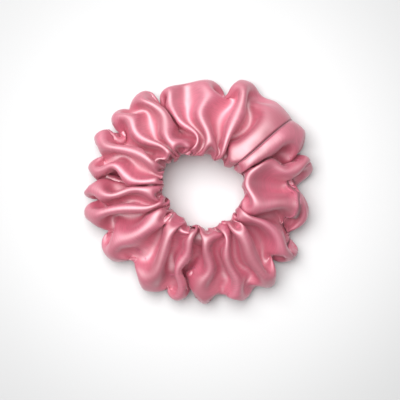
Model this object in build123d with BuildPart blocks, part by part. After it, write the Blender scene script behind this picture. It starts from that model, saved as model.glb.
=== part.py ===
"""Scrunchie: a strip of satin, sewn into a tube and gathered over a loop of braided elastic.

The frame has +Z up and its origin on the table, at the centre of the hole. Lengths are in
millimetres and angles in degrees, counted from +X towards +Y. The cover is a hollow ring of
gathers. Its seam allowances stand inwards as thin flanges, which hold the lockstitches: a
needle thread on one face and a bobbin thread on the other, which meet inside the cloth.
"""

import os
from math import cos, degrees, radians, sin, sqrt

from build123d import *

# The cover, as it lies on a table.
OUTER_DIAMETER = 116.0  # over the crests of the gathers
HOLE_DIAMETER = 40.0
HEIGHT = 27.0
CLOTH = 0.2  # one layer of satin
GATHER_RATIO = 2.4  # layers of cloth that the gathers fold into the wall, on average
GATHERS = 20
CREASE_DEPTH = 4.0  # how far the creases lie inside the crests, at the outer rim
SAG = 1.2  # how far the weight of the cloth presses the round tube flat
COLLAR_WALL = 2.0  # the bunched cloth between the hole and the elastic
COLLAR_HEIGHT = 10.0

# The seams.
ALLOWANCE = 5.0  # cloth beyond the long seam
END_ALLOWANCE = 3.0  # cloth beyond the end seam, which is trimmed shorter
SEAM_TO_WALL = 1.0
END_SEAM_TO_WALL = 1.6
THREAD = 0.3  # width of the sewing thread
THREAD_FLATS = 8  # its section is drawn with flats
END_SEAM_ANGLE = 36.0  # where the two ends of the tube meet
GAP_START, GAP_END = -20.0, 8.0  # the turning gap in the long seam, closed last
STITCH_ANGLE = 4.0  # one stitch of the long seam
GAP_STITCH_ANGLE = 2.0
END_STITCHES = 30
END_SEAM_ARC = (-160.0, 135.0)  # of its oval: it runs from the collar's foot round to its top

# The elastic: a flat braid with square rubber cores, its ends lapped and sewn.
ELASTIC_WIDTH = 6.0
ELASTIC_THICKNESS = 1.2
ELASTIC_CLEARANCE = 0.8  # from the collar
CORES = 6
CORE_SIZE = 0.5
LAP_START = 100.0
LAP_LENGTH = 12.0
RAMP_ANGLE = 40.0  # where the upper end climbs over the lower one
LAP_GAP = 0.02
ZIGZAG_CORNERS = 9
LEG = 0.22  # the same thread, pulled thinner where it runs through the cloth
NEEDLE_HOLE = 0.28

# Worked out from the above.
WALL = CLOTH * GATHER_RATIO
MID_HEIGHT = HEIGHT / 2
CREST_REACH = OUTER_DIAMETER / 2
INNER_REACH = HOLE_DIAMETER / 2 + 0.3  # just outside the collar's face
PITCH = 360 / GATHERS
FIRST_CREST = END_SEAM_ANGLE + PITCH / 2  # so that a crease lies at the end seam
CREASE_REACH = CREST_REACH - CREASE_DEPTH
STITCH_RADIUS = CREASE_REACH - WALL - SEAM_TO_WALL
ALLOWANCE_RADIUS = STITCH_RADIUS - ALLOWANCE
ELASTIC_RADIUS = HOLE_DIAMETER / 2 + COLLAR_WALL + ELASTIC_CLEARANCE + ELASTIC_THICKNESS / 2
LAP_RADIUS = ELASTIC_RADIUS + ELASTIC_THICKNESS + LAP_GAP
LAP_ANGLE = degrees(LAP_LENGTH / LAP_RADIUS)
CORE_PITCH = ELASTIC_WIDTH / (CORES + 1)
LAP_MIDDLE = (ELASTIC_RADIUS + LAP_RADIUS) / 2
ZIGZAG_RISE = CORE_PITCH * (CORES / 2 - 1)  # from the middle to a gap between two cores

# The long seam in three stretches, each with its own threads: start, end and stitch.
STRETCHES = {
    "long_seam": (END_SEAM_ANGLE + 1, GAP_START + 360, STITCH_ANGLE),
    "short_seam": (GAP_END, END_SEAM_ANGLE - 1, STITCH_ANGLE),
    "turning_gap": (GAP_START, GAP_END, GAP_STITCH_ANGLE),
}


def radial_plane(angle):
    """The upright plane at an angle: its x runs outwards from the axis and its y runs up."""
    turn = radians(angle)
    return Plane((0, 0, 0), x_dir=(cos(turn), sin(turn), 0), z_dir=(sin(turn), -cos(turn), 0))


def section(crease_depth, inset):
    """Centre and radii of the tube's oval section, shrunk by inset all round."""
    reach, top, foot = CREST_REACH - crease_depth, HEIGHT - 0.8 * crease_depth, -SAG
    centre = ((INNER_REACH + reach) / 2, (foot + top) / 2)
    return centre, (reach - INNER_REACH) / 2 - inset, (top - foot) / 2 - inset


def gathered_ring(inset):
    """The ring of gathers as one full solid, shrunk by inset all round."""
    with BuildPart() as gather:
        for turn, depth in ((-PITCH / 2, CREASE_DEPTH), (0, 0), (PITCH / 2, CREASE_DEPTH)):
            centre, across, up = section(depth, inset)
            with BuildSketch(radial_plane(FIRST_CREST + turn)):
                with Locations(centre):
                    Ellipse(across, up)
        loft()
    with BuildPart() as ring:
        with PolarLocations(0, GATHERS):
            add(gather.part)
        split(bisect_by=Plane.XY.offset(inset), keep=Keep.TOP)
    return ring.part


def annulus(outer, inner, base, height):
    """A flat ring about the Z axis, standing on the height base."""
    with BuildPart() as ring:
        with BuildSketch(Plane.XY.offset(base)):
            Circle(outer)
            Circle(inner, mode=Mode.SUBTRACT)
        extrude(amount=height)
    return ring.part


def thread_section(width=THREAD):
    """The section of a sewing thread, for the sketch that is open."""
    return RegularPolygon(width / 2, THREAD_FLATS)


def stitches(start, end, pitch):
    """How many stitches a stretch of seam has, and the arc that they share evenly."""
    count = round((end - start) / pitch)
    return count, count * pitch


def seam_holes(start, end, pitch):
    """The needle holes of a stretch of the long seam, as one tool."""
    count, arc = stitches(start, end, pitch)
    with BuildPart() as holes:
        with Locations((0, 0, MID_HEIGHT)):
            with PolarLocations(STITCH_RADIUS, count, start + pitch / 2, arc):
                Cylinder(NEEDLE_HOLE / 2, 4 * CLOTH)
    return holes.part


def seam_thread(start, end, pitch, side):
    """One thread of a stretch of the long seam. side is 1 for the needle thread, on top of
    the allowances, and -1 for the bobbin thread under them."""
    lie = CLOTH + THREAD / 2
    leg = lie + THREAD / 4  # the legs end inside the thread that they hang from
    count, arc = stitches(start, end, pitch)
    with BuildPart() as thread:
        with BuildSketch(radial_plane(start)):
            with Locations((STITCH_RADIUS, MID_HEIGHT + side * lie)):
                thread_section()
        revolve(axis=Axis.Z, revolution_arc=end - start)
        with BuildSketch(Plane.XY.offset(MID_HEIGHT)):
            with PolarLocations(STITCH_RADIUS, count, start + pitch / 2, arc):
                thread_section(LEG)
        extrude(amount=side * leg)
    return thread.part


def end_seam_points():
    """The needle points of the end seam, on an oval just inside the wall."""
    (out, up), across, rise = section(CREASE_DEPTH, WALL + END_SEAM_TO_WALL)
    start, end = END_SEAM_ARC
    pitch = (end - start) / END_STITCHES
    turns = [radians(start + pitch * (i + 0.5)) for i in range(END_STITCHES)]
    return [(out + across * cos(t), up + rise * sin(t)) for t in turns]


def crossing_slot():
    """A slot through the long seam's allowances, where the end seam's threads cross them."""
    (out, up), across, rise = section(CREASE_DEPTH, WALL + END_SEAM_TO_WALL)
    crossing = out + across * sqrt(1 - ((MID_HEIGHT - up) / rise) ** 2)
    with BuildPart() as slot:
        with BuildSketch(radial_plane(END_SEAM_ANGLE)):
            with Locations((crossing, MID_HEIGHT)):
                Rectangle(2 * THREAD, 4 * CLOTH)
        extrude(amount=CLOTH + 2 * THREAD, both=True)
    return slot.part


def end_seam_holes():
    """The needle holes of the end seam, as one tool."""
    with BuildPart() as holes:
        with BuildSketch(radial_plane(END_SEAM_ANGLE)):
            with Locations(*end_seam_points()):
                Circle(NEEDLE_HOLE / 2)
        extrude(amount=2 * CLOTH, both=True)
    return holes.part


def end_seam_thread(side):
    """One thread of the end seam, on the face of the flange that side points to."""
    plane = radial_plane(END_SEAM_ANGLE)
    lie = CLOTH + THREAD / 2
    centre, across, rise = section(CREASE_DEPTH, WALL + END_SEAM_TO_WALL)
    start, end = END_SEAM_ARC
    with BuildPart() as thread:
        with BuildLine(plane.offset(side * lie)) as loop:
            EllipticalCenterArc(centre, across, rise, start, arc_size=end - start)
        with BuildSketch(Plane(loop.line @ 0, z_dir=loop.line % 0)):
            thread_section()
        sweep(path=loop.line)
        with BuildSketch(plane):
            with Locations(*end_seam_points()):
                thread_section(LEG)
        extrude(amount=side * (lie + THREAD / 4))
    return thread.part


def elastic_route():
    """The middle line of the elastic: once round, then a ramp and a lap over its own start."""
    with BuildLine() as route:
        under = CenterArc((0, 0), ELASTIC_RADIUS, LAP_START, 360 - RAMP_ANGLE)
        over = CenterArc((0, 0), LAP_RADIUS, LAP_START, LAP_ANGLE)
        Spline(under @ 1, over @ 0, tangents=(under % 1, over % 0))
    return route.line


def zigzag_points(radius):
    """The corners of the zigzag across the lap, at a radius from the axis."""
    points = []
    for i in range(ZIGZAG_CORNERS):
        turn = radians(LAP_START + LAP_ANGLE * (i + 1) / (ZIGZAG_CORNERS + 1))
        rise = ZIGZAG_RISE if i % 2 else -ZIGZAG_RISE
        points.append((radius * cos(turn), radius * sin(turn), MID_HEIGHT + rise))
    return points


def zigzag_legs(radius, start, end):
    """Round legs at the zigzag's corners, from one distance from the axis to another."""
    with BuildPart() as legs:
        for x, y, z in zigzag_points(1.0):
            with BuildSketch(Plane((start * x, start * y, z), z_dir=(x, y, 0))):
                Circle(radius)
            extrude(amount=end - start)
    return legs.part


def join_thread(face_radius, side):
    """One thread of the elastic's join: a zigzag on a face of the lap, with legs that run to
    the middle of the lap. side is 1 on the outer face and -1 on the inner one."""
    centre_radius = face_radius + side * (THREAD / 2 + LAP_GAP)
    with BuildPart() as thread:
        with BuildLine() as zigzag:
            Polyline(*zigzag_points(centre_radius))
        with BuildSketch(Plane(zigzag.line @ 0, z_dir=zigzag.line % 0)):
            thread_section()
        sweep(path=zigzag.line, transition=Transition.RIGHT)
        add(zigzag_legs(LEG / 2, *sorted((LAP_MIDDLE, centre_radius))))
    return thread.part


# The rubber cores, square threads that lie side by side in the braid.
with BuildPart() as rubber_cores:
    for number in range(CORES):
        base = MID_HEIGHT + (number - (CORES - 1) / 2) * CORE_PITCH - CORE_SIZE / 2
        with BuildSketch(Plane.XY.offset(base)):
            trace(elastic_route(), line_width=CORE_SIZE)
        extrude(amount=CORE_SIZE)

# The braid round them, with the needle holes of its join.
with BuildPart() as elastic_braid:
    with BuildSketch(Plane.XY.offset(MID_HEIGHT - ELASTIC_WIDTH / 2)):
        trace(elastic_route(), line_width=ELASTIC_THICKNESS)
    extrude(amount=ELASTIC_WIDTH)
    add(rubber_cores.part, mode=Mode.SUBTRACT)
    add(
        zigzag_legs(
            NEEDLE_HOLE / 2,
            ELASTIC_RADIUS - ELASTIC_THICKNESS,
            LAP_RADIUS + ELASTIC_THICKNESS,
        ),
        mode=Mode.SUBTRACT,
    )

# The allowances of the long seam, two layers that stand inwards from the outer wall.
with BuildPart() as long_allowance:
    add(annulus(CREST_REACH, ALLOWANCE_RADIUS, MID_HEIGHT - CLOTH, 2 * CLOTH))
    add(gathered_ring(WALL / 2), mode=Mode.INTERSECT)
    for stretch in STRETCHES.values():
        add(seam_holes(*stretch), mode=Mode.SUBTRACT)
    add(crossing_slot(), mode=Mode.SUBTRACT)

# The allowances of the end seam, a flange right round the inside of the tube.
with BuildPart() as end_allowance:
    rim_centre, rim_across, rim_up = section(CREASE_DEPTH, WALL / 2)
    edge_centre, edge_across, edge_up = section(CREASE_DEPTH, WALL + END_ALLOWANCE)
    with BuildSketch(radial_plane(END_SEAM_ANGLE)):
        with Locations(rim_centre):
            Ellipse(rim_across, rim_up)
        with Locations(edge_centre):
            Ellipse(edge_across, edge_up, mode=Mode.SUBTRACT)
    extrude(amount=CLOTH, both=True)
    split(bisect_by=Plane.XY.offset(WALL / 2), keep=Keep.TOP)
    add(
        annulus(
            LAP_RADIUS + ELASTIC_THICKNESS,
            ELASTIC_RADIUS - ELASTIC_THICKNESS / 2 - ELASTIC_CLEARANCE / 2,
            MID_HEIGHT - ELASTIC_WIDTH,
            2 * ELASTIC_WIDTH,
        ),
        mode=Mode.SUBTRACT,
    )
    add(end_seam_holes(), mode=Mode.SUBTRACT)

# The collar, the bunched cloth between the hole and the elastic.
with BuildPart() as collar:
    add(
        annulus(
            HOLE_DIAMETER / 2 + COLLAR_WALL,
            HOLE_DIAMETER / 2,
            MID_HEIGHT - COLLAR_HEIGHT / 2,
            COLLAR_HEIGHT,
        )
    )

# The air inside the cover, round the collar and the allowances.
with BuildPart() as cavity:
    add(gathered_ring(WALL))
    add(collar.part, mode=Mode.SUBTRACT)
    add(long_allowance.part, mode=Mode.SUBTRACT)
    add(end_allowance.part, mode=Mode.SUBTRACT)

# The cover: the gathered wall with the collar and the allowances, all one cloth.
with BuildPart() as satin_cover:
    add(gathered_ring(0))
    add(collar.part)
    add(cavity.part, mode=Mode.SUBTRACT)

PIECES = {
    "satin_cover": satin_cover.part,
    "elastic_braid": elastic_braid.part,
    "rubber_cores": rubber_cores.part,
    "elastic_join_needle_thread": join_thread(LAP_RADIUS + ELASTIC_THICKNESS / 2, 1),
    "elastic_join_bobbin_thread": join_thread(ELASTIC_RADIUS - ELASTIC_THICKNESS / 2, -1),
    "end_seam_needle_thread": end_seam_thread(1),
    "end_seam_bobbin_thread": end_seam_thread(-1),
}
for stretch, extent in STRETCHES.items():
    PIECES[f"{stretch}_needle_thread"] = seam_thread(*extent, 1)
    PIECES[f"{stretch}_bobbin_thread"] = seam_thread(*extent, -1)

os.makedirs("parts", exist_ok=True)
for name, piece in PIECES.items():
    piece.label = name
    export_step(piece, f"parts/{name}.step")
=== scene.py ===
"""Satin scrunchie: the finished look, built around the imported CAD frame.

The cover starts as a lumpy ring that is too small for its cloth. The cloth then grows to the
length that it was cut to, so it buckles into folds between the elastic and the table. Its
seams are then drawn in, and their allowances are turned inside. Lengths are in millimetres,
and mesh_object turns them into metres.
"""

import logging
from collections.abc import Callable
from dataclasses import dataclass, field
from enum import Enum

import bpy
import numpy as np
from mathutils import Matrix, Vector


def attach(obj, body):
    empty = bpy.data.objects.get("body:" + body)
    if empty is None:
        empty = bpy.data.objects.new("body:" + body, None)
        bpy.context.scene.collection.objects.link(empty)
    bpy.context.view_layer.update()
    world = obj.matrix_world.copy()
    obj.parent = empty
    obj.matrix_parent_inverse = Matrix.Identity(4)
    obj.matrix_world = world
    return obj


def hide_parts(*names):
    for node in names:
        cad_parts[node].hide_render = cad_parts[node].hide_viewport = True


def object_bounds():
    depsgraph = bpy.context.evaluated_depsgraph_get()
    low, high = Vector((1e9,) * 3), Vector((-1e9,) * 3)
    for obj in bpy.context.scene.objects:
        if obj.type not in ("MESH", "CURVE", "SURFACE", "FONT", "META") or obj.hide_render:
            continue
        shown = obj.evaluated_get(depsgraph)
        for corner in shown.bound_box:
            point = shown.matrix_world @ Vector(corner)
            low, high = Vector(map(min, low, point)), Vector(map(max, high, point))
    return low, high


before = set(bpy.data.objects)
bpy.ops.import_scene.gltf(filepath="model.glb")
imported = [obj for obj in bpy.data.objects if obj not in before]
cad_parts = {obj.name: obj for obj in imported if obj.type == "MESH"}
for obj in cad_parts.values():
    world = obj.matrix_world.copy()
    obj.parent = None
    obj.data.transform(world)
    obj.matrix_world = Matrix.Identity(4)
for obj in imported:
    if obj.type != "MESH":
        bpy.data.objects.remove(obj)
CAD_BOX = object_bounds()

Array = np.ndarray
MM = 0.001
TURN = 2 * np.pi
BODY = "root"
CAD_SIZE = (np.array(CAD_BOX[1]) - np.array(CAD_BOX[0])) / MM
OUTLINE = CAD_SIZE[0] / 2
HEIGHT = CAD_SIZE[2]
MIDDLE = HEIGHT / 2

# Where the seams lie, in degrees from +X towards +Y, as in the CAD frame.
END_SEAM = 36.0
GAP_START = -20.0
GAP_END = 8.0

log = logging.getLogger("scrunchie")


class Side(Enum):
    """The two threads of a lockstitch, by the side of the seam that each lies on."""

    NEEDLE = 1
    BOBBIN = -1


class Around(Enum):
    """The two ways along the gathered cloth's grid."""

    RING = 0
    TUBE = 1


class Lobe(Enum):
    """How far a fold's crest reaches past the ring's outline, and how high it stands."""

    BIG = (4.0, 26.0)
    FULL = (2.0, 26.0)
    PLAIN = (-1.0, 24.0)
    SMALL = (-5.0, 22.0)


class Crease(Enum):
    """How far the crease after a fold reaches past the outline, and how high it stands."""

    SEAMED = (-3.0, 18.0)
    PINCHED = (-8.0, 8.0)
    DEEP = (-12.0, 6.0)
    OPEN = (-16.0, 4.0)


@dataclass(frozen=True)
class Fold:
    """One fold of the cover and the crease after it.

    The width is the part of the ring that the fold takes, in degrees. The lean is how far its
    end at the hole is turned ahead of its outer end.
    """

    width: float
    lobe: Lobe
    crease: Crease
    lean: float = 0.0


# The folds, anticlockwise from the end seam and back to it. They take 360 degrees.
FOLDS = (
    Fold(25, Lobe.FULL, Crease.PINCHED),
    Fold(15, Lobe.FULL, Crease.DEEP, -5),
    Fold(25, Lobe.PLAIN, Crease.DEEP),
    Fold(15, Lobe.SMALL, Crease.OPEN),
    Fold(15, Lobe.PLAIN, Crease.PINCHED),
    Fold(15, Lobe.PLAIN, Crease.DEEP, -5),
    Fold(15, Lobe.FULL, Crease.PINCHED),
    Fold(15, Lobe.PLAIN, Crease.OPEN),
    Fold(10, Lobe.PLAIN, Crease.PINCHED),
    Fold(15, Lobe.FULL, Crease.DEEP),
    Fold(25, Lobe.BIG, Crease.OPEN),
    Fold(25, Lobe.FULL, Crease.DEEP),
    Fold(10, Lobe.SMALL, Crease.OPEN),
    Fold(20, Lobe.PLAIN, Crease.DEEP),
    Fold(15, Lobe.PLAIN, Crease.PINCHED, 5),
    Fold(20, Lobe.FULL, Crease.DEEP, 5),
    Fold(15, Lobe.PLAIN, Crease.OPEN, 10),
    Fold(35, Lobe.FULL, Crease.OPEN, 5),
    Fold(15, Lobe.PLAIN, Crease.DEEP, 5),
    Fold(15, Lobe.FULL, Crease.SEAMED),
)


def linear(colour: str) -> tuple[float, float, float, float]:
    """Turns an sRGB hex colour into linear light.

    Args:
        colour: the colour as "#rrggbb".

    Returns:
        Red, green, blue and an alpha of 1.
    """
    shown = np.array([int(colour[i : i + 2], 16) for i in (1, 3, 5)]) / 255
    light = np.where(shown <= 0.04045, shown / 12.92, ((shown + 0.055) / 1.055) ** 2.4)
    return (*light.tolist(), 1.0)


def between(low: Array, high: Array, share: Array | float) -> Array:
    """Mixes two arrays by a share from 0 to 1."""
    return low + (high - low) * share


def unit(vectors: Array) -> Array:
    """Scales vectors to a length of 1."""
    return vectors / (np.linalg.norm(vectors, axis=-1, keepdims=True) + 1e-9)


def bell(distance: Array, width: float) -> Array:
    """A bell curve: 1 at no distance and about a third at the width."""
    return np.exp(-((distance / width) ** 2))


def window(degrees: Array, start: float, end: float, soft: float) -> Array:
    """A share that is 1 between two angles and eases to 0 over a soft width beyond them.

    Args:
        degrees: the angles to read it at.
        start: where it starts.
        end: where it ends.
        soft: the width of each slope.

    Returns:
        The share at each angle.
    """
    rise = np.clip((degrees - start) / soft + 1, 0, 1)
    fall = np.clip((end - degrees) / soft + 1, 0, 1)
    share = np.minimum(rise, fall)
    return share * share * (3 - 2 * share)


def way_along(path: Array) -> Array:
    """The length of a path up to each of its points."""
    return np.concatenate([[0.0], np.cumsum(np.linalg.norm(np.diff(path, axis=0), axis=1))])


def read_along(way: Array, values: Array, places: Array) -> Array:
    """Reads vectors that are known along a path at other places of it, on straight runs."""
    return np.stack([np.interp(places, way, values[:, k]) for k in range(3)], axis=1)


@dataclass(frozen=True)
class Hole:
    """The hole's outline: a circle drawn out a little to an oval and three corners.

    The cloth adds ripples to it, and a bulge beside the end seam. Directions and the bulge's
    width are in degrees.
    """

    radius: float = 20.0
    oval: float = 1.5
    oval_towards: float = 160.0
    corners: float = 1.0
    corner_towards: float = 25.0
    bulge: float = 3.0
    bulge_at: float = 45.0
    bulge_width: float = 9.0
    ripple: float = 0.7
    ripples_a_turn: tuple[int, int] = (11, 17)

    def elastic(self, degrees: Array) -> Array:
        """The outline that the elastic gives: a circle with a wave of two and one of three.

        Args:
            degrees: the angles to read it at.

        Returns:
            The radius at each angle.
        """
        oval = self.oval * np.cos(2 * np.radians(degrees - self.oval_towards))
        corners = self.corners * np.cos(3 * np.radians(degrees - self.corner_towards))
        return self.radius + oval + corners

    def reach(self, degrees: Array) -> Array:
        """The outline of the cloth: ripples of two lengths, and a bell-shaped bulge.

        Args:
            degrees: the angles to read it at.

        Returns:
            The radius at each angle.
        """
        away = (degrees - self.bulge_at + 180) % 360 - 180
        turn = np.radians(degrees)
        few, many = self.ripples_a_turn
        ripples = self.ripple * (np.sin(few * turn + 1) + 0.7 * np.sin(many * turn))
        return self.elastic(degrees) - ripples - self.bulge * bell(away, self.bulge_width)


HOLE = Hole()


def mesh_object(name: str, points: Array, faces: list, uv: Array | None = None) -> bpy.types.Object:
    """Makes a smooth mesh object that rides on the scrunchie's one body.

    Args:
        name: the piece's name.
        points: vertices in millimetres, (n, 3).
        faces: the vertex numbers of each face.
        uv: texture places of the face corners, (corners, 2).

    Returns:
        The new object, at the origin, in metres.
    """
    mesh = bpy.data.meshes.new(name)
    mesh.from_pydata((points * MM).tolist(), [], faces)
    mesh.polygons.foreach_set("use_smooth", np.ones(len(faces), dtype=bool))
    if uv is not None:
        layer = mesh.uv_layers.new(name="cloth")
        layer.data.foreach_set("uv", uv.reshape(-1).astype(np.float32))
    mesh.update()
    piece = bpy.data.objects.new(name, mesh)
    bpy.context.collection.objects.link(piece)
    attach(piece, BODY)
    return piece


def report(piece: bpy.types.Object) -> None:
    """Logs a finished piece."""
    log.info("%s: %d vertices", piece.name, len(piece.data.vertices))


def grid_faces(across: int, along: int, close_across: bool, close_along: bool) -> Array:
    """The four-cornered faces of a grid of points.

    Args:
        across: points in the grid's first direction.
        along: points in its second direction.
        close_across: whether the last row joins the first.
        close_along: whether the last column joins the first.

    Returns:
        Vertex numbers, (m, 4), where point (i, j) has number i * along + j.
    """
    i, j = np.meshgrid(
        np.arange(across - (not close_across)), np.arange(along - (not close_along)), indexing="ij"
    )
    i, j = i.ravel(), j.ravel()
    near, far = i * along, (i + 1) % across * along
    left, right = j, (j + 1) % along
    return np.stack([near + left, far + left, far + right, near + right], axis=1)


def swept(path: Array, beside: Array, section: Array) -> tuple[Array, list]:
    """A section carried along an open path, kept square to it, with a face over each end.

    Each point is the path's, plus the section's first number times the direction beside the
    path, plus its second number times the direction square to both.

    Args:
        path: points along the middle, (n, 3).
        beside: roughly where the section's first axis points, (n, 3) or (3,).
        section: the outline, anticlockwise, (corners, 2) or (n, corners, 2).

    Returns:
        Vertices and faces.
    """
    ahead = unit(np.gradient(path, axis=0))
    beside = np.broadcast_to(beside, path.shape)
    first = unit(beside - ahead * (beside * ahead).sum(1, keepdims=True))
    second = np.cross(ahead, first)
    section = np.broadcast_to(section, (len(path), *section.shape[-2:]))
    points = path[:, None] + first[:, None] * section[..., :1] + second[:, None] * section[..., 1:]
    count = section.shape[1]
    faces = grid_faces(len(path), count, False, True).tolist()
    last = (len(path) - 1) * count
    faces.append(list(range(count)))
    faces.append(list(range(last + count - 1, last - 1, -1)))
    return points.reshape(-1, 3), faces


def round_section(radius: float, sides: int) -> Array:
    """The outline of a round thread, with flats."""
    turn = TURN * np.arange(sides) / sides
    return radius * np.stack([np.cos(turn), np.sin(turn)], axis=1)


@dataclass
class Gathering:
    """Cloth on a closed grid that settles into folds, by projective dynamics.

    Each step asks every grid edge for its own rest length, adds what pushes the cloth, and
    then solves for all the points at once. The grid closes both ways and all the weights are
    even, so that solution is a division in the Fourier domain. The puff blows the cloth up, or
    draws it in if it is negative. The rim gather is the part of its length that the cloth at
    the hole has, and gather near is the power that keeps this to the cloth near the hole.
    """

    points: Array
    length: float
    girth: float
    bending: float
    thickness: float
    puff: float
    rim_gather: float = 0.5
    gather_near: float = 3.0
    weight: float = 0.01
    hold: float = 0.06
    slant: float = 0.15
    swing: float = 0.5
    look_reach: float = 1.5
    most_travel: float = 0.45
    averaging: float = 0.6
    last: Array = field(init=False)
    goal: Array = field(init=False)
    first_ring: Array = field(init=False)
    first_tube: Array = field(init=False)
    divisor: Array = field(init=False)
    close_pairs: tuple[Array, Array] | None = field(init=False, default=None)

    def __post_init__(self) -> None:
        """Measures the first shape and works out the divisor of the solution."""
        self.last = self.points.copy()
        self.goal = self.points.copy()
        self.first_ring = self.edge_lengths(Around.RING)
        self.first_tube = self.edge_lengths(Around.TUBE)
        rings, tubes = self.points.shape[:2]
        ring_wave = TURN * np.arange(rings)[:, None] / rings
        tube_wave = TURN * np.arange(tubes // 2 + 1)[None, :] / tubes
        ring = 2 - 2 * np.cos(ring_wave)
        tube = 2 - 2 * np.cos(tube_wave)
        slanted = 4 - 2 * np.cos(ring_wave + tube_wave) - 2 * np.cos(ring_wave - tube_wave)
        stiffness = self.bending * (2 / self.ring_step) ** 2
        bend = stiffness * (ring**2 + tube**2 + ring * tube)
        self.divisor = (self.hold + ring + tube + self.slant * slanted + bend)[..., None]

    @property
    def ring_step(self) -> float:
        """Cloth between neighbouring grid lines, along the strip."""
        return self.length / self.points.shape[0]

    @property
    def tube_step(self) -> float:
        """Cloth between neighbouring grid lines, round the tube."""
        return self.girth / self.points.shape[1]

    @property
    def inwards(self) -> Array:
        """How far each line along the tube lies towards the hole: 0 outside and 1 inside."""
        count = self.points.shape[1]
        return ((1 - np.cos(TURN * np.arange(count) / count)) / 2)[None, :]

    def edge_lengths(self, way: Around) -> Array:
        """Lengths of the edges from each point to the next one."""
        return np.linalg.norm(np.roll(self.points, -1, way.value) - self.points, axis=-1)

    def rest_lengths(self, grown: float) -> tuple[Array, Array]:
        """Rest lengths part way from the first shape's to the cut cloth's.

        Args:
            grown: 0 at the first shape and 1 at the full cloth.

        Returns:
            Rest lengths round the ring and round the tube. The cloth at the hole is given
            less length, because its finest pleats are smaller than the grid.
        """
        gather = 1 - (1 - self.rim_gather) * self.inwards**self.gather_near
        ring = between(self.first_ring, self.ring_step * gather, grown)
        tube = between(self.first_tube, self.tube_step, grown)
        return ring, tube

    def edge_pull(self, step: tuple[int, int], rest: Array, weight: float) -> Array:
        """The pull of one family of edges: each asks its ends for its rest length.

        Args:
            step: the neighbour that each edge runs to, in grid lines.
            rest: rest lengths.
            weight: stiffness.

        Returns:
            The family's share of the right-hand side.
        """
        edge = np.roll(self.points, (-step[0], -step[1]), (0, 1)) - self.points
        wanted = unit(edge) * rest[..., None] * weight
        return np.roll(wanted, step, (0, 1)) - wanted

    def find_close_pairs(self, reach: float) -> tuple[Array, Array]:
        """Pairs of points that are near in space but not along the cloth.

        Points are sorted by the cube of space that they lie in, and each cube is compared
        with itself and with half of its neighbours.

        Args:
            reach: the largest distance of a pair.

        Returns:
            The numbers of the two points of each pair.
        """
        points = self.points.reshape(-1, 3)
        rings, tubes = self.points.shape[:2]
        cube = np.floor((points - points.min(0)) / reach).astype(np.int64) + 1
        size = cube.max(0) + 2
        key = (cube[:, 0] * size[1] + cube[:, 1]) * size[2] + cube[:, 2]
        order = np.argsort(key, kind="stable")
        key = key[order]
        place = np.arange(len(key))
        near = (-1, 0, 1)
        steps = [(x, y, z) for x in near for y in near for z in near if (x, y, z) >= (0, 0, 0)]
        firsts, seconds = [], []
        for x, y, z in steps:
            offset = (x * size[1] + y) * size[2] + z
            start = np.searchsorted(key, key + offset, side="left") if offset else place + 1
            count = np.maximum(np.searchsorted(key, key + offset, side="right") - start, 0)
            before = np.repeat(np.cumsum(count) - count, count)
            first = order[np.repeat(place, count)]
            second = order[np.repeat(start, count) + np.arange(count.sum()) - before]
            close = ((points[first] - points[second]) ** 2).sum(1) < reach**2
            first, second = first[close], second[close]
            ring = np.abs(first // tubes - second // tubes)
            tube = np.abs(first % tubes - second % tubes)
            apart = np.maximum(np.minimum(ring, rings - ring), np.minimum(tube, tubes - tube))
            firsts.append(first[apart > 3])
            seconds.append(second[apart > 3])
        return np.concatenate(firsts), np.concatenate(seconds)

    def part_layers(self, points: Array) -> Array:
        """Pushes close pairs apart until a layer's thickness lies between them.

        Args:
            points: the grid's points.

        Returns:
            The moved points. Where a point is in many pairs, its pushes are averaged.
        """
        flat = points.reshape(-1, 3)
        first, second = self.close_pairs
        gap = flat[first] - flat[second]
        distance = np.linalg.norm(gap, axis=1) + 1e-9
        touching = distance < self.thickness
        first, second, distance = first[touching], second[touching], distance[touching]
        push = gap[touching] * (0.5 * (self.thickness - distance) / distance)[:, None]
        both = np.concatenate([first, second])
        pushes = np.concatenate([push, -push])
        count = np.maximum(1, self.averaging * np.bincount(both, minlength=len(flat)))
        moved = [np.bincount(both, pushes[:, k], len(flat)) / count for k in range(3)]
        return (flat + np.stack(moved, axis=1)).reshape(points.shape)

    def step(self, grown: float, pull: Array, keep: Callable[[Array], Array], look: bool) -> None:
        """Takes one step.

        Args:
            grown: how much of the cut cloth's length is there, from 0 to 1.
            pull: how strongly each point is drawn to its first place.
            keep: keeps points on the table, round the elastic and out of the hole.
            look: whether to search for close pairs again.
        """
        points = self.points
        free = points + self.swing * (points - self.last) + self.puff * outward(points)
        free[..., 2] -= self.weight
        free += pull[..., None] * (self.goal - points)
        ring, tube = self.rest_lengths(grown)
        wanted = self.hold * free
        wanted += self.edge_pull((1, 0), ring, 1.0)
        wanted += self.edge_pull((0, 1), tube, 1.0)
        wanted += self.edge_pull((1, 1), np.hypot(ring, tube), self.slant)
        wanted += self.edge_pull((1, -1), np.hypot(ring, np.roll(tube, 1, 1)), self.slant)
        waves = np.fft.rfft2(wanted, axes=(0, 1)) / self.divisor
        moved = np.fft.irfft2(waves, s=points.shape[:2], axes=(0, 1))
        if look or self.close_pairs is None:
            self.close_pairs = self.find_close_pairs(self.look_reach * self.thickness)
        moved = self.part_layers(moved)
        travel = moved - points
        far = np.linalg.norm(travel, axis=-1, keepdims=True) + 1e-9
        moved = points + travel * np.minimum(1, self.most_travel * self.thickness / far)
        self.last = points
        self.points = keep(moved)


def outward(points: Array) -> Array:
    """Outward normals of a closed grid, from the cross product of its two ways.

    Args:
        points: a closed grid, (rings, tubes, 3).

    Returns:
        A unit vector at each point.
    """
    ring = np.roll(points, -1, 0) - np.roll(points, 1, 0)
    tube = np.roll(points, -1, 1) - np.roll(points, 1, 1)
    return unit(np.cross(ring, tube))


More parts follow.
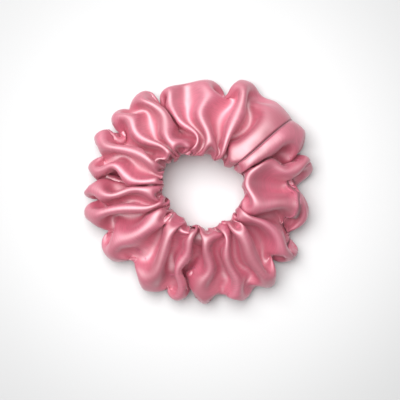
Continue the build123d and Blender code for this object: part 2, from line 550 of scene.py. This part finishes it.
def finer(points: Array, rings: int, tubes: int) -> Array:
    """Resamples a closed grid: the same waves, read at more places.

    Args:
        points: a closed grid, (rings, tubes, 3).
        rings: how many rings the new grid has.
        tubes: how many points each of its rings has.

    Returns:
        The new grid.
    """
    waves = np.fft.fft2(points, axes=(0, 1))
    half_ring, half_tube = points.shape[0] // 2, points.shape[1] // 2
    more = np.zeros((rings, tubes, 3), dtype=complex)
    for ring in (slice(0, half_ring), slice(-half_ring, None)):
        for tube in (slice(0, half_tube), slice(-half_tube, None)):
            more[ring, tube] = waves[ring, tube]
    scale = rings * tubes / (points.shape[0] * points.shape[1])
    return np.fft.ifft2(more, axes=(0, 1)).real * scale


def turned(points: Array, turns: Array) -> Array:
    """Slides each ring's points round the tube: each wave is shifted by its share of a turn.

    Args:
        points: a closed grid, (rings, tubes, 3).
        turns: how far to slide each ring, in radians.

    Returns:
        The same surface, with its lines along the tube in new places.
    """
    waves = np.fft.rfft(points, axis=1)
    numbers = np.arange(waves.shape[1])
    waves = waves * np.exp(1j * numbers[None, :] * turns[:, None])[..., None]
    return np.fft.irfft(waves, n=points.shape[1], axis=1)


def add_node(
    material: bpy.types.Material, kind: str, values: dict, **settings: object
) -> bpy.types.Node:
    """Adds a node to a material.

    Args:
        material: whose node tree it joins.
        kind: the node's type.
        values: input name or number to a value, or to another node's output to link.
        settings: the node's own properties.

    Returns:
        The new node.
    """
    tree = material.node_tree
    node = tree.nodes.new(kind)
    for key, value in settings.items():
        setattr(node, key, value)
    for key, value in values.items():
        if isinstance(value, bpy.types.NodeSocket):
            tree.links.new(value, node.inputs[key])
        else:
            node.inputs[key].default_value = value
    return node


@dataclass(frozen=True)
class Finish:
    """What every finish of the scrunchie shares."""

    name: str
    colour: str
    roughness: float
    specular: float = 0.5

    def start(self) -> tuple[bpy.types.Material, bpy.types.Node]:
        """Makes the material.

        Returns:
            The material, and its Principled shader with the plain values set.
        """
        material = bpy.data.materials.new(self.name)
        material.use_nodes = True
        shader = material.node_tree.nodes["Principled BSDF"]
        shader.inputs["Base Color"].default_value = linear(self.colour)
        shader.inputs["Roughness"].default_value = self.roughness
        shader.inputs["Specular IOR Level"].default_value = self.specular
        return material, shader

    def material(self) -> bpy.types.Material:
        """Builds the material with the plain values alone."""
        return self.start()[0]


@dataclass(frozen=True)
class Satin(Finish):
    """Polyester charmeuse, woven with long floats of bright warp.

    The floats lie side by side like combed hair, so the eye sees a deep, saturated rose in
    the hollows and a broad, pale, soft-edged shine where the cloth faces the light. Slightly
    uneven warp threads give a fine streaky grain.
    """

    strip: tuple[float, float] = (600.0, 116.0)
    slub: tuple[float, float] = (6.0, 0.5)
    cloud: float = 25.0
    dark: str = "#aa2049"
    light: str = "#cb446c"
    coat: float = 0.9
    coat_roughness: float = 0.6
    coat_ior: float = 3.2

    def noise(self, material: bpy.types.Material, cell: tuple[float, float]) -> bpy.types.NodeSocket:
        """Noise on the cloth's own coordinates, with cells of a real size.

        Args:
            material: where its nodes go.
            cell: length along the strip and across it, in millimetres.

        Returns:
            The noise's value.
        """
        place = add_node(material, "ShaderNodeUVMap", {}, uv_map="cloth")
        scale = (self.strip[0] / cell[0], self.strip[1] / cell[1], 1.0)
        sized = add_node(material, "ShaderNodeMapping", {"Vector": place.outputs["UV"], "Scale": scale})
        values = {"Vector": sized.outputs["Vector"], "Scale": 1.0, "Detail": 2.0}
        return add_node(material, "ShaderNodeTexNoise", values, noise_dimensions="2D").outputs["Fac"]

    def material(self) -> bpy.types.Material:
        """Builds the material: streaky grain in the colour and in a faint bump."""
        material, shader = self.start()
        # Real warp threads are 0.1 mm apart, too fine to show, so the grain is drawn at 0.5 mm.
        grain = self.noise(material, self.slub)
        cloud = self.noise(material, (self.cloud, self.cloud))
        both = add_node(material, "ShaderNodeMath", {0: grain, 1: cloud}, operation="MULTIPLY")
        tint = add_node(material, "ShaderNodeValToRGB", {"Fac": both.outputs["Value"]})
        dark, light = tint.color_ramp.elements
        dark.position, light.position = 0.1, 0.45
        dark.color, light.color = linear(self.dark), linear(self.light)
        relief = {"Height": grain, "Strength": 0.12, "Distance": 0.2 * MM}
        bump = add_node(material, "ShaderNodeBump", relief)
        material.node_tree.links.new(tint.outputs["Color"], shader.inputs["Base Color"])
        material.node_tree.links.new(bump.outputs["Normal"], shader.inputs["Normal"])
        shader.inputs["Coat Weight"].default_value = self.coat
        shader.inputs["Coat Roughness"].default_value = self.coat_roughness
        shader.inputs["Coat IOR"].default_value = self.coat_ior
        shader.inputs["Sheen Weight"].default_value = 0.2
        shader.inputs["Sheen Roughness"].default_value = 0.5
        shader.inputs["Sheen Tint"].default_value = linear("#e9b9c8")
        return material


@dataclass(frozen=True)
class Thread(Finish):
    """Spun polyester sewing thread: three plies twisted, matt, with faint diagonal painted shade."""

    ply: float = 0.5

    def material(self) -> bpy.types.Material:
        """Builds the material: bands of painted shade as far apart as the plies, across the thread."""
        material, shader = self.start()
        place = add_node(material, "ShaderNodeTexCoord", {})
        values = {"Vector": place.outputs["Object"], "Scale": 1 / (self.ply * MM), "Detail": 1.0}
        noise = add_node(material, "ShaderNodeTexNoise", values)
        tint = add_node(material, "ShaderNodeValToRGB", {"Fac": noise.outputs["Fac"]})
        dark, light = tint.color_ramp.elements
        dark.position, light.position = 0.3, 0.7
        # Painted shade: the darker pink stands in for the shade in the grooves between the plies.
        dark.color, light.color = linear("#b95c77"), linear(self.colour)
        material.node_tree.links.new(tint.outputs["Color"], shader.inputs["Base Color"])
        return material


@dataclass
class SeamLine:
    """A seam's places along the cloth, and the way across the seam at each of them."""

    middle: Array
    across: Array

    def stitched(self, thread: Side, pitch: float, lie: float, width: float) -> Array:
        """The path of one of the seam's two threads.

        It runs beside the seam and dips towards its middle at each needle hole: the distance
        from the middle is the lie times one minus most of a bell curve round each hole.

        Args:
            thread: which of the two threads.
            pitch: length of a stitch.
            lie: how far from the middle the thread lies.
            width: the thread's own width.

        Returns:
            Points along the thread.
        """
        way = way_along(self.middle)
        count = max(1, round(way[-1] / pitch))
        place = np.linspace(0, way[-1], 8 * count + 1)
        middle = read_along(way, self.middle, place)
        across = read_along(way, self.across, place)
        to_hole = np.abs((place / way[-1] * count) % 1 - 0.5) * pitch
        beside = lie * (1 - 0.8 * bell(to_hole, width))
        return middle + across * (thread.value * beside)[:, None]


@dataclass
class SatinCover:
    """The cover: a strip of satin sewn into a tube, and gathered over the elastic.

    The growth, the holds, the meander and the kinds of fold steer the gathering:
    early_growth is the part of the length that the large folds get, later_hold is how strongly
    the grown cloth is still held, and held_near_rim is the power that eases that hold towards
    the hole. A wide_fold's height eases evenly, and a plain_fold gets its even share of cloth.
    Lengths are in millimetres, and directions and the meander are in degrees.
    """

    length: float = 600.0
    girth: float = 104.0
    layer: float = 0.2
    allowance: float = 6.5
    end_allowance: float = 4.0
    edge_depth: float = 0.35
    end_depth: float = 0.6
    rings: int = 240
    tubes: int = 48
    fine_rings: int = 432
    fine_tubes: int = 96
    elastic_out: float = 4.1
    clear_of_elastic: float = 3.8
    fuller_by: float = 1.0
    fuller_towards: float = 215.0
    early_growth: float = 0.93
    wide_fold: float = 25.0
    plain_fold: float = 20.0
    sharpness: tuple[float, float] = (0.5, 1.6)
    favour_narrow: float = 0.6
    later_hold: float = 0.9
    held_near_rim: float = 2.0
    room_for_elastic: float = 7.0
    rim_share: float = 0.9
    into_hole: float = 1.0
    off_hole: float = 3.0
    meander: float = 4.0
    seam_at: float = -50.0
    seam_at_gap: float = 45.0
    seam_depth: float = 0.5
    end_seam_depth: float = 0.6
    pucker_width: float = 4.0
    lip: float = 2.6
    rim_waves: tuple[int, int] = (52, 32)
    unevenness: float = 0.08
    seed: int = 8
    finish: Satin = Satin("satin_charmeuse_woven", "#cb4b68", 0.55, 1.0)
    points: Array = field(init=False)
    normals: Array = field(init=False)
    degrees: Array = field(init=False)

    @property
    def flat(self) -> tuple[float, float]:
        """Width and length of the cut strip, in metres."""
        width = self.girth + 2 * self.allowance
        return (width * MM, (self.length + 2 * self.end_allowance) * MM)

    def knots(self) -> Array:
        """Crests and creases from the end seam on.

        Returns:
            Angle, reach, height and angle at the hole of each, in turn: crease, crest, crease.
        """
        widths = np.array([fold.width for fold in FOLDS])
        ends = END_SEAM + np.cumsum(widths)
        lobes = np.array([fold.lobe.value for fold in FOLDS])
        creases = np.array([fold.crease.value for fold in FOLDS])
        leans = np.array([fold.lean for fold in FOLDS])
        mid_leans = (leans + np.roll(leans, -1)) / 2
        crests = np.column_stack([ends - widths / 2, OUTLINE + lobes[:, 0], lobes[:, 1], leans])
        creases = np.column_stack([ends, OUTLINE + creases[:, 0], creases[:, 1], mid_leans])
        knots = np.stack([crests, creases], axis=1).reshape(-1, 4)
        knots[:, 1] += self.fuller_by * np.cos(np.radians(knots[:, 0] - self.fuller_towards))
        knots[:, 3] += knots[:, 0]
        first = knots[-1:] - np.array([360.0, 0.0, 0.0, 360.0])
        return np.concatenate([first, knots])

    def first_shape(self) -> Array:
        """The ring before its cloth has grown: ovals whose size follows the folds.

        The strip's length is shared out by the way from crest to crease. Between the two, the
        angles run evenly, and the reach falls by a half cosine. The height falls by a power of
        it that grows with the fold's width, so narrow folds have sharp crests and wide ones
        flat tops. Narrow folds are also given more of the cloth. Each oval spans from the hole,
        where it has room for the elastic, to its reach. Its angle sways across the tube, so
        that the folds bend, and small waves at the hole seed the pleats there.

        Returns:
            Points in millimetres, (rings, tubes, 3).
        """
        knots = self.knots()
        across = np.radians(np.diff(knots[:, 0])) * knots[1:, 1]
        way = np.hypot(across, np.diff(knots[:, 1])) + 0.5 * np.abs(np.diff(knots[:, 2]))
        widths = np.repeat([fold.width for fold in FOLDS], 2)
        way = way * (self.plain_fold / widths) ** self.favour_narrow
        places = np.concatenate([[0.0], np.cumsum(way)]) / way.sum()
        along = np.arange(self.rings) / self.rings
        knot = np.searchsorted(places, along, side="right") - 1
        part = (along - places[knot]) / (places[knot + 1] - places[knot])
        from_crest = knot % 2 == 1
        fallen = (1 - np.cos(np.pi * np.where(from_crest, part, 1 - part))) / 2
        low = fallen ** np.clip(widths[knot] / self.wide_fold, *self.sharpness)
        shares = (part, fallen, low, part)
        crest = np.where(from_crest, knot, knot + 1)
        crease = np.where(from_crest, knot + 1, knot)
        starts = (knots[knot], knots[crest], knots[crest], knots[knot])
        ends = (knots[knot + 1], knots[crease], knots[crease], knots[knot + 1])
        angle, reach, height, rim_angle = (
            between(starts[k][:, k], ends[k][:, k], shares[k])[:, None] for k in range(4)
        )
        hole = HOLE.reach(angle)
        turn = (TURN * np.arange(self.tubes) / self.tubes)[None, :]
        inwards = (1 - np.cos(turn)) / 2
        near = inwards**2
        top = between(height, MIDDLE + self.room_for_elastic, near)
        foot = between((HEIGHT - height) / 4, MIDDLE - self.room_for_elastic, near)
        radius = (hole + reach) / 2 + (reach - hole) / 2 * np.cos(turn)
        rise = foot + (top - foot) / 2 * (1 + np.sin(turn))
        wave = TURN * along[:, None]
        many, few = self.rim_waves
        pleats = 0.9 * np.sin(many * wave + 3) + 0.45 * np.sin(few * wave + 2)
        radius = radius + inwards**3 * pleats
        rise = rise + 0.6 * inwards**2 * np.cos(many * wave + 1) * np.sin(turn)
        bends = self.meander * np.sin(turn) ** 2 * np.sin(2 * turn + 7 * wave)
        around = np.radians(between(angle, rim_angle, inwards) + bends)
        points = np.stack([radius * np.cos(around), radius * np.sin(around), rise], axis=-1)
        noise = np.random.RandomState(self.seed).normal(0, self.unevenness, points.shape)
        return points + noise

    def keep(self, points: Array) -> Array:
        """Keeps the cloth on the table, clear of the elastic and out of the hole.

        Each limit moves a point straight to the nearest place that it allows.

        Args:
            points: a closed grid of any size, whose middle line lies nearest to the hole.

        Returns:
            The same array with its points moved.
        """
        tubes = points.shape[1]
        rim = ((1 - np.cos(TURN * np.arange(tubes) / tubes)) / 2 > self.rim_share)[None, :]
        points[..., 2] = np.maximum(points[..., 2], self.layer / 2)
        radius = np.hypot(points[..., 0], points[..., 1])
        degrees = np.degrees(np.arctan2(points[..., 1], points[..., 0]))
        hole = HOLE.reach(degrees)
        elastic = HOLE.elastic(degrees) + self.elastic_out
        wanted = np.maximum(radius, hole - self.into_hole)
        wanted = np.where(rim, np.minimum(wanted, hole + self.off_hole), wanted)
        out, up = wanted - elastic, points[..., 2] - MIDDLE
        push = np.maximum(self.clear_of_elastic / (np.hypot(out, up) + 1e-9), 1)
        points[..., 2] = MIDDLE + up * push
        points[..., :2] *= ((elastic + out * push) / radius)[..., None]
        return points

    def settle(self, cloth: Gathering, steps: int, growing: int, pull: float) -> None:
        """Runs the gathering.

        Args:
            cloth: what settles.
            steps: how many steps.
            growing: the steps over which the cloth grows.
            pull: how strongly the outer rim is drawn to its first place while it grows.
        """
        outer = pull * (1 - cloth.inwards) ** self.held_near_rim
        rim = 0.5 * np.clip((cloth.inwards - self.rim_share) / (1 - self.rim_share), 0, 1)
        for number in range(steps):
            grown = min(1.0, (number + 1) / growing)
            draw = (outer + rim) * (1.0 if number < growing + 20 else self.later_hold)
            draw = np.broadcast_to(draw, cloth.points.shape[:2])
            cloth.step(grown, draw, self.keep, number % 4 == 0)

    def gathered(self) -> Array:
        """Gathers the cloth: first coarsely, then on a grid about twice as fine.

        Returns: The settled grid.
        """
        early = self.length * self.early_growth
        first = self.first_shape()
        cloth = Gathering(first, early, self.girth, bending=0.03, thickness=1.9, puff=-0.03)
        self.settle(cloth, steps=300, growing=200, pull=0.3)
        log.info("satin cover: large folds settled")
        fine = finer(cloth.points, self.fine_rings, self.fine_tubes)
        cloth = Gathering(fine, self.length, self.girth, bending=0.06, thickness=1.25, puff=0.02)
        self.settle(cloth, steps=140, growing=60, pull=0.05)
        log.info("satin cover: small folds settled")
        return cloth.points

    def steps(self) -> tuple[float, float]:
        """Cloth between neighbouring grid lines, along the strip and round the tube."""
        rings, tubes = self.points.shape[:2]
        return self.length / rings, self.girth / tubes

    def draw_in_seams(self) -> None:
        """Turns the grid to the long seam, then shapes the cloth beside the seams.

        Both seams draw the cloth in by a bell curve across them, and pucker it by waves along
        them. At the turning gap the two edges stand out as a waved lip instead.
        """
        middle = self.points.mean(1)
        turns = np.unwrap(np.arctan2(middle[:, 1], middle[:, 0]))
        self.degrees = np.degrees(turns + TURN * np.round((np.radians(END_SEAM) - turns[0]) / TURN))
        gap = window(self.degrees, GAP_START + 360, GAP_END + 360, 24.0)
        self.points = turned(self.points, np.radians(between(self.seam_at, self.seam_at_gap, gap)))
        self.normals = outward(self.points)
        rings, tubes = self.points.shape[:2]
        ring_step, tube_step = self.steps()
        line = np.arange(tubes)
        to_seam = (np.minimum(line, tubes - line) * tube_step)[None, :]
        ring = np.arange(rings)
        to_end = (np.minimum(ring, rings - ring) * ring_step)[:, None]
        place = (ring * ring_step)[:, None]
        open_gap = window(self.degrees, GAP_START + 363, GAP_END + 357, 5.0)[:, None]
        pucker = 0.22 * np.sin(TURN * place / 7.0) + 0.14 * np.sin(TURN * place / 11.0 + 1)
        drawn = self.seam_depth * bell(to_seam, 1.0) * (1 - open_gap)
        sunk = pucker * bell(to_seam, self.pucker_width) - drawn
        round_place = (line * tube_step)[None, :]
        pucker = 0.12 * np.sin(TURN * round_place / 9.0) * bell(to_end, self.pucker_width)
        sunk = sunk - self.end_seam_depth * bell(to_end, 1.6) + pucker
        shaped = self.points + self.normals * sunk[..., None]
        waved = self.lip * (1 + 0.35 * np.sin(TURN * place / 14.0))
        stand = waved * open_gap * bell(to_seam, 1.5)
        away = unit(self.points[:, 0] * np.array([1.0, 1.0, 0.0]))
        lean = unit(away + 0.35 * self.normals[:, 0])[:, None]
        self.points = shaped + lean * stand[..., None]
        self.points[..., 2] = np.maximum(self.points[..., 2], self.layer)
        self.normals = outward(self.points)

    def turned_in(self, grid: Array, normals: Array, way: Around, count: int, depth: float) -> Array:
        """Adds allowances along two opposite edges of a grid, laid back against its inside.

        Each line of an allowance is the line as far inside the edge, sunk by the depth.

        Args:
            grid: points whose first and last lines meet at the seam, (rings, tubes, 3).
            normals: outward normals.
            way: which way the allowances are added.
            count: lines in each allowance.
            depth: how deep they lie.

        Returns:
            The wider grid.
        """
        sunk = np.moveaxis(grid - normals * depth, way.value, 0)
        lines = np.moveaxis(grid, way.value, 0)
        wider = np.concatenate([sunk[count:0:-1], lines, sunk[-2 : -2 - count : -1]])
        return np.moveaxis(wider, 0, way.value)

    def build(self) -> bpy.types.Object:
        """Builds the cover as one open strip, from end allowance to end allowance.

        Returns:
            The finished piece.
        """
        self.points = self.gathered()
        self.draw_in_seams()
        ring_step, tube_step = self.steps()
        closed = np.pad(self.points, ((0, 1), (0, 1), (0, 0)), mode="wrap")
        normals = np.pad(self.normals, ((0, 1), (0, 1), (0, 0)), mode="wrap")
        sides, ends = round(self.allowance / tube_step), round(self.end_allowance / ring_step)
        grid = self.turned_in(closed, normals, Around.TUBE, sides, self.edge_depth)
        deeper = self.turned_in(normals, normals, Around.TUBE, sides, 0.0)
        grid = self.turned_in(grid, deeper, Around.RING, ends, self.end_depth)
        grid[..., 2] = np.maximum(grid[..., 2], self.layer)
        rings, tubes = grid.shape[:2]
        faces = grid_faces(rings, tubes, False, False)
        place = np.stack(np.divmod(faces.ravel(), tubes), axis=1) / (rings - 1, tubes - 1)
        piece = mesh_object("satin_cover_gathered", grid.reshape(-1, 3), faces.tolist(), place)
        cloth = piece.modifiers.new("cloth", "SOLIDIFY")
        cloth.thickness = self.layer * MM
        cloth.offset = -1.0
        piece.data.materials.append(self.finish.material())
        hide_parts("satin_cover")
        report(piece)
        return piece

    def seam_between(self, start: float, end: float, line: int, lift: float) -> SeamLine:
        """The long seam's line between two angles.

        Args:
            start: where it starts, in degrees, from the end seam on.
            end: where it ends.
            line: which line of the grid it follows, counted from the seam.
            lift: how far above the cloth it lies, or below it if negative.

        Returns:
            The seam line.
        """
        inside = np.flatnonzero((self.degrees >= start) & (self.degrees <= end))
        rows = slice(inside[0], inside[-1] + 1)
        normal = self.normals[rows, line]
        across = unit(self.points[rows, line + 1] - self.points[rows, line - 1])
        return SeamLine(self.points[rows, line] + normal * lift, across)

    def end_seam(self, lift: float) -> SeamLine:
        """The end seam's line, once round the tube.

        Args:
            lift: how far above the cloth it lies, or below it if negative.

        Returns:
            The seam line.
        """
        across = unit(self.points[1] - self.points[-1])
        return SeamLine(self.points[0] + self.normals[0] * lift, across)


@dataclass
class Seams:
    """The machine stitches: a needle thread and a bobbin thread for each stretch of seam."""

    cover: SatinCover
    thread: float = 0.3
    stitch: float = 2.5
    gap_stitch: float = 1.8
    lie: float = 0.35
    inside_edge: float = 0.7
    inside_end: float = 1.2
    finish: Thread = Thread("spun_polyester_thread_twisted", "#d98aa2", 0.7, 0.3)

    def stretches(self) -> dict[str, tuple[tuple[SeamLine, ...], float]]:
        """Works out where each stretch of seam runs.

        Returns:
            For each stretch, the line of each side's thread and the length of its stitch.
        """
        full = END_SEAM + 360
        gap_start, gap_end = GAP_START + 360, GAP_END + 360
        cover = self.cover
        long = cover.seam_between(END_SEAM + 1, gap_start, 0, -self.inside_edge)
        short = cover.seam_between(gap_end, full - 1, 0, -self.inside_edge)
        end = cover.end_seam(-self.inside_end)
        gap = tuple(cover.seam_between(gap_start, gap_end, side.value, 0.1) for side in Side)
        return {
            "long_seam": ((long, long), self.stitch),
            "short_seam": ((short, short), self.stitch),
            "turning_gap": (gap, self.gap_stitch),
            "end_seam": ((end, end), self.stitch),
        }

    def build(self) -> None:
        """Builds the two threads of each stretch."""
        material = self.finish.material()
        for stretch, (lines, pitch) in self.stretches().items():
            for side, line in zip(Side, lines):
                path = line.stitched(side, pitch, self.lie, self.thread)
                path[:, 2] = np.maximum(path[:, 2], 2 * self.thread)
                way = way_along(line.middle)
                across = read_along(way, line.across, np.linspace(0, way[-1], len(path)))
                points, faces = swept(path, across, round_section(self.thread / 2, 6))
                name = f"{stretch}_{side.name.lower()}_thread"
                piece = mesh_object(f"{name}_stitched", points, faces)
                piece.data.materials.append(material)
                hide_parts(name)
                report(piece)


@dataclass
class Elastic:
    """The elastic: a flat braid round rubber cores, its ends lapped and sewn together."""

    width: float = 6.0
    thickness: float = 1.2
    out: float = 4.1
    lap_at: float = 100.0
    lap: float = 12.0
    ramp: float = 14.0
    cores: int = 6
    core: float = 0.5
    plait: float = 1.4
    relief: float = 0.05
    thread: float = 0.3
    zigzags: int = 9
    # Matt white yarn: the eye sees a soft, dull white that the plait shades.
    braid: Finish = Finish("polyester_yarn_braided", "#efe9e6", 0.8, 0.3)
    # Cut latex: creamy, with a dull shine.
    rubber: Finish = Finish("latex_thread_extruded", "#d8cfc0", 0.55, 0.5)
    # Spun thread: fibres on its surface leave it matt and nearly pure white.
    sewing: Finish = Finish("spun_polyester_thread_white", "#f4f1ee", 0.7, 0.3)

    def route(self) -> Array:
        """The middle line: once round and on over its own start.

        The radius is the hole's smooth outline plus a gap. It rises by one thickness over the
        ramp before the lap, by a half cosine.

        Returns:
            Points along the elastic, (n, 3).
        """
        radius = HOLE.radius + self.out
        lap_angle = np.degrees(self.lap / radius)
        turn = np.linspace(self.lap_at, self.lap_at + 360 + lap_angle, 640)
        share = np.clip((turn - (self.lap_at + 360 - self.ramp)) / self.ramp, 0, 1)
        rise = (self.thickness + 0.15) * (1 - np.cos(np.pi * share)) / 2
        reach = HOLE.elastic(turn) + self.out + rise
        around = np.radians(turn)
        return np.stack([reach * np.cos(around), reach * np.sin(around), np.full_like(turn, MIDDLE)], 1)

    def braid_section(self, count: int) -> Array:
        """The braid's outline at each of count places: a rounded oblong with a plaited relief.

        The oblong is a circle whose cosine and sine are raised to small powers. The relief is
        the product of two waves that run diagonally, which gives crossing yarns.

        Args:
            count: how many places there are.

        Returns:
            The outlines, (count, corners, 2).
        """
        turn = TURN * np.arange(32) / 32
        wide = np.sign(np.cos(turn)) * np.abs(np.cos(turn)) ** 0.6 * self.width / 2
        thick = np.sign(np.sin(turn)) * np.abs(np.sin(turn)) ** 0.4 * self.thickness / 2
        place = np.linspace(0, TURN * HOLE.radius * 1.25, count)[:, None]
        first = np.sin(TURN * (place + wide) / self.plait)
        second = np.sin(TURN * (place - wide) / self.plait)
        raised = 1 + self.relief * first * second / (self.thickness / 2)
        return np.stack([np.broadcast_to(wide, raised.shape), thick * raised], axis=-1)

    def dress(
        self, name: str, stands_for: str, points: Array, faces: list, finish: Finish
    ) -> None:
        """Makes one piece of the elastic.

        Args:
            name: the piece's name.
            stands_for: the CAD node that it replaces.
            points: vertices.
            faces: faces.
            finish: its finish.
        """
        piece = mesh_object(name, points, faces)
        piece.data.materials.append(finish.material())
        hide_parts(stands_for)
        report(piece)

    def build(self) -> None:
        """Builds the braid, the cores inside it and the zigzag that joins its ends."""
        route = self.route()
        up = np.array([0.0, 0.0, 1.0])
        points, faces = swept(route, up, self.braid_section(len(route)))
        self.dress("elastic_braid_plaited", "elastic_braid", points, faces, self.braid)
        self.build_cores(route, up)
        self.build_join(route, up)

    def build_cores(self, route: Array, up: Array) -> None:
        """The rubber cores: square threads side by side, all on the elastic's route.

        Args:
            route: the elastic's middle line.
            up: the way across its width.
        """
        half = self.core / 2
        square = np.array([(half, half), (-half, half), (-half, -half), (half, -half)])
        pitch = self.width / (self.cores + 1)
        all_points, all_faces = [], []
        for number in range(self.cores):
            lift = (number - (self.cores - 1) / 2) * pitch
            points, faces = swept(route[::2] + up * lift, up, square)
            start = number * len(points)
            all_points.append(points)
            all_faces += [[corner + start for corner in face] for face in faces]
        points = np.concatenate(all_points)
        self.dress("rubber_cores_drawn", "rubber_cores", points, all_faces, self.rubber)

    def build_join(self, route: Array, up: Array) -> None:
        """The join's two threads: a zigzag on each face of the lap.

        Args:
            route: the elastic's middle line.
            up: the way across its width.
        """
        way = way_along(route)
        ahead = unit(np.gradient(route, axis=0))
        out = np.cross(ahead, up)
        corners = np.arange(self.zigzags)
        place = way[-1] - self.lap * (corners + 1) / (self.zigzags + 1)
        swing = np.where(corners % 2, 1.0, -1.0) * self.width / 3
        middle = read_along(way, route, place) + up * swing[:, None]
        facing = read_along(way, out, place)
        for side in Side:
            far = self.thickness * (0.5 if side is Side.NEEDLE else -1.5) - 0.15 * (side is Side.BOBBIN)
            path = middle + facing * (far + side.value * self.thread / 2)
            path = read_along(way_along(path), path, np.linspace(0, way_along(path)[-1], 97))
            beside = read_along(way_along(middle), facing, np.linspace(0, way_along(middle)[-1], 97))
            points, faces = swept(path, beside, round_section(self.thread / 2, 6))
            name = f"elastic_join_{side.name.lower()}_thread"
            self.dress(f"{name}_zigzag", name, points, faces, self.sewing)


@dataclass
class Studio:
    """The floor, the lights and the camera."""

    camera_height: float = 900.0
    picture_width: float = 200.0
    aim: tuple[float, float] = (-1.5, -5.0)
    aim_height: float = 12.0

    def floor(self) -> None:
        """A pale sweep of paper, with painted shade that darkens it a little away from the middle."""
        half = 1500.0
        corners = np.array([[-half, -half, 0], [half, -half, 0], [half, half, 0], [-half, half, 0]])
        mesh = bpy.data.meshes.new("floor")
        mesh.from_pydata((corners * MM).tolist(), [], [(0, 1, 2, 3)])
        floor = bpy.data.objects.new("floor", mesh)
        bpy.context.collection.objects.link(floor)
        # Matt paper: a grey-white without shine, which the lamp brings close to white.
        material, shader = Finish("paper_matt_coated", "#dcdcdc", 0.9).start()
        # Painted shade: the paper's colour darkens from the middle outwards, standing in for the lamp's
        # light falling off.
        place = add_node(material, "ShaderNodeTexCoord", {})
        values = {0: place.outputs["Object"]}
        far = add_node(material, "ShaderNodeVectorMath", values, operation="LENGTH")
        values = {"Value": far.outputs["Value"], "From Min": 0.05, "From Max": 0.16}
        ramp = add_node(material, "ShaderNodeMapRange", values, interpolation_type="SMOOTHSTEP")
        values = {0: ramp.outputs["Result"], 6: linear("#dcdcdc"), 7: linear("#c2c2c2")}
        shade = add_node(material, "ShaderNodeMix", values, data_type="RGBA")
        material.node_tree.links.new(shade.outputs[2], shader.inputs["Base Color"])
        mesh.materials.append(material)

    def lights(self) -> None:
        """A large soft box overhead, a little to the upper left, and a pale room."""
        lamp = bpy.data.lights.new("softbox", "AREA")
        lamp.shape = "SQUARE"
        lamp.size = 1.2
        lamp.energy = 26.0
        box = bpy.data.objects.new("softbox", lamp)
        box.location = (-0.28, 0.32, 1.1)
        box.rotation_euler = (-0.28, -0.25, 0.0)
        bpy.context.collection.objects.link(box)
        world = bpy.data.worlds.new("room")
        world.use_nodes = True
        background = world.node_tree.nodes["Background"]
        background.inputs["Color"].default_value = linear("#f4f6f8")
        background.inputs["Strength"].default_value = 0.2
        bpy.context.scene.world = world

    def camera(self) -> None:
        """Looks straight down from where the ring fills the frame."""
        data = bpy.data.cameras.new("camera")
        data.lens = data.sensor_width * (self.camera_height - self.aim_height) / self.picture_width
        camera = bpy.data.objects.new("camera", data)
        camera.location = (self.aim[0] * MM, self.aim[1] * MM, self.camera_height * MM)
        bpy.context.collection.objects.link(camera)
        bpy.context.scene.camera = camera

    def build(self) -> None:
        """Sets everything up."""
        self.floor()
        self.lights()
        self.camera()
        bpy.context.scene.view_settings.view_transform = "Standard"


def main() -> None:
    """Builds the scrunchie and its studio."""
    logging.basicConfig(level=logging.INFO, format="%(message)s")
    cover = SatinCover()
    piece = cover.build()
    Seams(cover).build()
    Elastic().build()
    cover.flat
    Studio().build()


if __name__ == "__main__":
    main()
